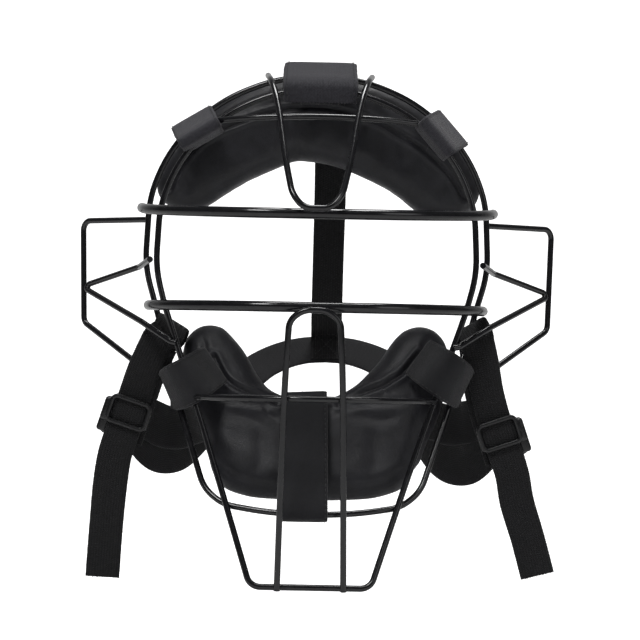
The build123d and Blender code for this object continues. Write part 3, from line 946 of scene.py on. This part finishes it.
def strap_tail(side):
    """The loose end: out of the buckle, then hanging in front of the doubled webbing."""
    sign = SIDES[side]
    across = strap_across(side)
    end_x, end_z = BUCKLES[side]["tail_end"]
    start = strap_spot(side, -0.0100, 0.0022)
    bend, knee_out = TAIL_BEND[side]
    knee = (start[0] + sign * knee_out, start[2] - 0.030)
    slant = Vector((end_x - knee[0], 0.0, end_z - knee[1])).normalized()
    lower = (-slant.z, 0.0, slant.x)
    rows = [
        (*strap_spot(side, 0.0086, 0.0026), *across, WEBBING * 1.02),
        (*strap_spot(side, 0.0040, 0.0031), *across, WEBBING * 1.02),
        (*strap_spot(side, -0.0030, 0.0031), *across, WEBBING * 1.02),
        (*strap_spot(side, -0.0078, 0.0026), *across, WEBBING * 1.02),
        (*strap_spot(side, -0.0130, 0.0029), *across, WEBBING * 1.02),
        (
            start[0] + sign * bend, STRAP_Y - 0.0028, start[2] - 0.015,
            *across, WEBBING * 1.01,
        ),
        (knee[0], STRAP_Y - 0.0032, knee[1], *lower, WEBBING * 1.02),
        (
            (knee[0] + end_x) / 2 + sign * 0.0005, STRAP_Y - 0.0020, (knee[1] + end_z) / 2,
            lower[0], 0.06 * sign, lower[2], WEBBING * 1.01,
        ),
        (end_x, STRAP_Y - 0.0034, end_z, lower[0], -0.05 * sign, lower[2], WEBBING),
    ]
    path = spline(rows, WEBBING_STEP)
    made = strap(
        f"tail_webbing_{side}", path, TAIL_THICK, FINISH["webbing"], rib=0.12, ragged=0.009,
        seed=51 + sign,
    )
    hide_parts(f"strap_tail_{side}")
    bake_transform(made)
    loose = frayed(path, False, 0.0016, 0.35, 36, 61 + sign)
    tubes(f"tail_fibres_{side}", loose, 0.00011, FINISH["thread"], sides=4, body=f"tail_{side}")


def moulded_loop(bm, centre, half_width, half_height, corner, turn):
    """Adds a rounded rectangular ring in the strap's own axes: across, forward, up."""
    path, outward = [], []
    for quarter, (sx, sz) in enumerate(((1, 1), (-1, 1), (-1, -1), (1, -1))):
        for a in np.linspace(quarter, quarter + 1, 9) * pi / 2:
            outward.append((cos(a), sin(a)))
            path.append((
                sx * (half_width - corner) + corner * cos(a),
                sz * (half_height - corner) + corner * sin(a),
            ))
    section = []
    for a in np.linspace(0, 2 * pi, 16, endpoint=False):
        u, v = cos(a), sin(a)
        u = np.sign(u) * abs(u) ** 0.6 * SLIDE_GIRTH / 2
        section.append((u, np.sign(v) * abs(v) ** 0.6 * SLIDE_DEPTH / 2))
    rings = []
    for (x, z), (nx, nz) in zip(path, outward):
        rings.append([
            bm.verts.new(turn(Vector((
                centre[0] + x + nx * u, centre[1] + v, centre[2] + z + nz * u,
            )))) for u, v in section
        ])
    for ring, after in zip(rings, rings[1:] + rings[:1]):
        for j in range(len(section)):
            k = (j + 1) % len(section)
            bm.faces.new((ring[j], ring[k], after[k], after[j]))


def rounded_block(bm, centre, size, radius, turn):
    """Adds a block with rounded edges, in the strap's own axes: across, forward, up."""
    made = bmesh.ops.create_cube(bm, size=1.0)["verts"]
    for vertex in made:
        vertex.co = Vector(c * s for c, s in zip(vertex.co, size))
    edges = list({edge for vertex in made for edge in vertex.link_edges})
    bevelled = bmesh.ops.bevel(
        bm, geom=edges, offset=radius, segments=4, profile=0.5, affect="EDGES"
    )
    block = {vertex for face in bevelled["faces"] for vertex in face.verts}
    for vertex in block:
        vertex.co = turn(vertex.co + Vector(centre))


def buckle(side):
    """A moulded three-bar slide: a loop in front of the webbing, and one lower down behind it."""
    sign = SIDES[side]
    bm = bmesh.new()

    def turn(local):
        return Vector(strap_spot(side, local.z, local.y, local.x))

    half_width = BUCKLE_HALF_WIDTH - SLIDE_GIRTH / 2
    half_height = BUCKLE_HALF_HEIGHT - SLIDE_GIRTH / 2
    moulded_loop(bm, (0.0, 0.0048, 0.0), half_width, half_height, 0.0030, turn)
    moulded_loop(bm, (sign * 0.0026, -0.0030, -0.0070), half_width, 0.0084, 0.0036, turn)
    inner, outer = -sign * half_width, sign * (half_width + 0.0012)
    rounded_block(bm, (inner, 0.0009, -0.0022), (SLIDE_GIRTH, 0.0092, 0.0105), 0.0011, turn)
    rounded_block(bm, (outer, 0.0012, -0.0015), (0.0058, 0.0090, 0.0140), 0.0019, turn)
    rounded_block(bm, (outer, -0.0012, -0.0082), (0.0066, 0.0046, 0.0150), 0.0018, turn)
    mesh = bpy.data.meshes.new(f"slide_{side}")
    bmesh.ops.recalc_face_normals(bm, faces=bm.faces)
    bm.to_mesh(mesh)
    bm.free()
    mesh.materials.append(FINISH["plastic"])
    mesh.shade_smooth()
    made = bpy.data.objects.new(f"slide_{side}", mesh)
    bpy.context.scene.collection.objects.link(made)
    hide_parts(f"buckle_{side}")
    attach(made, f"buckle_{side}")


# Studio


def studio():
    """A pale sweep of paper, and soft light from above and both sides."""
    width, front, turn_y, radius, height = 6.0, -3.0, 1.6, 0.9, 3.2
    profile = [(front, FLOOR_Z), (turn_y - radius, FLOOR_Z)]
    for step in range(1, 13):
        a = pi / 2 * step / 12
        profile.append((turn_y - radius + radius * sin(a), FLOOR_Z + radius * (1 - cos(a))))
    profile.append((turn_y, height))
    vertices = [(x, y, z) for y, z in profile for x in (-width / 2, width / 2)]
    faces = [(2 * i, 2 * i + 1, 2 * i + 3, 2 * i + 2) for i in range(len(profile) - 1)]
    new_object("paper_sweep", vertices, faces, FINISH["paper"])
    world = bpy.data.worlds.new("studio")
    world.use_nodes = True
    background = world.node_tree.nodes["Background"]
    background.inputs["Color"].default_value = (1.0, 1.0, 1.0, 1.0)
    glow = seen_directly(world.node_tree, 1.0, 0.07)
    world.node_tree.links.new(glow, background.inputs["Strength"])
    bpy.context.scene.world = world
    bpy.context.scene.view_settings.view_transform = "Standard"
    lamp("key", (-0.5, -1.1, 1.5), 0.5, 11.0)
    lamp("fill", (1.1, -1.3, 0.7), 0.8, 2.5)
    lamp("top", (0.1, 0.15, 1.5), 0.6, 13.0)


def lamp(name, location, size, power):
    data = bpy.data.lights.new(name, "AREA")
    data.shape = "SQUARE"
    data.size = size
    data.energy = power
    made = bpy.data.objects.new(name, data)
    made.location = location
    aim = Vector((0.0, 0.0, -0.04)) - Vector(location)
    made.rotation_euler = aim.to_track_quat("-Z", "Y").to_euler()
    bpy.context.scene.collection.objects.link(made)


def camera():
    data = bpy.data.cameras.new("camera")
    data.lens = 93.75
    data.sensor_width = 36.0
    made = bpy.data.objects.new("camera", data)
    made.location = (0.0027, -1.0, -0.037)
    made.rotation_euler = (pi / 2, radians(-1.1), 0.0)
    bpy.context.scene.collection.objects.link(made)
    bpy.context.scene.camera = made


camera()
cage()
forehead_pad()
chin_pad()
forehead_tab_center()
chin_tab()
top_strap()
for side in SIDES:
    forehead_tab(side)
    cheek_tab(side)
    elastic_half(side)
    side_strap(side)
    buckle(side)
    strap_tail(side)
studio()
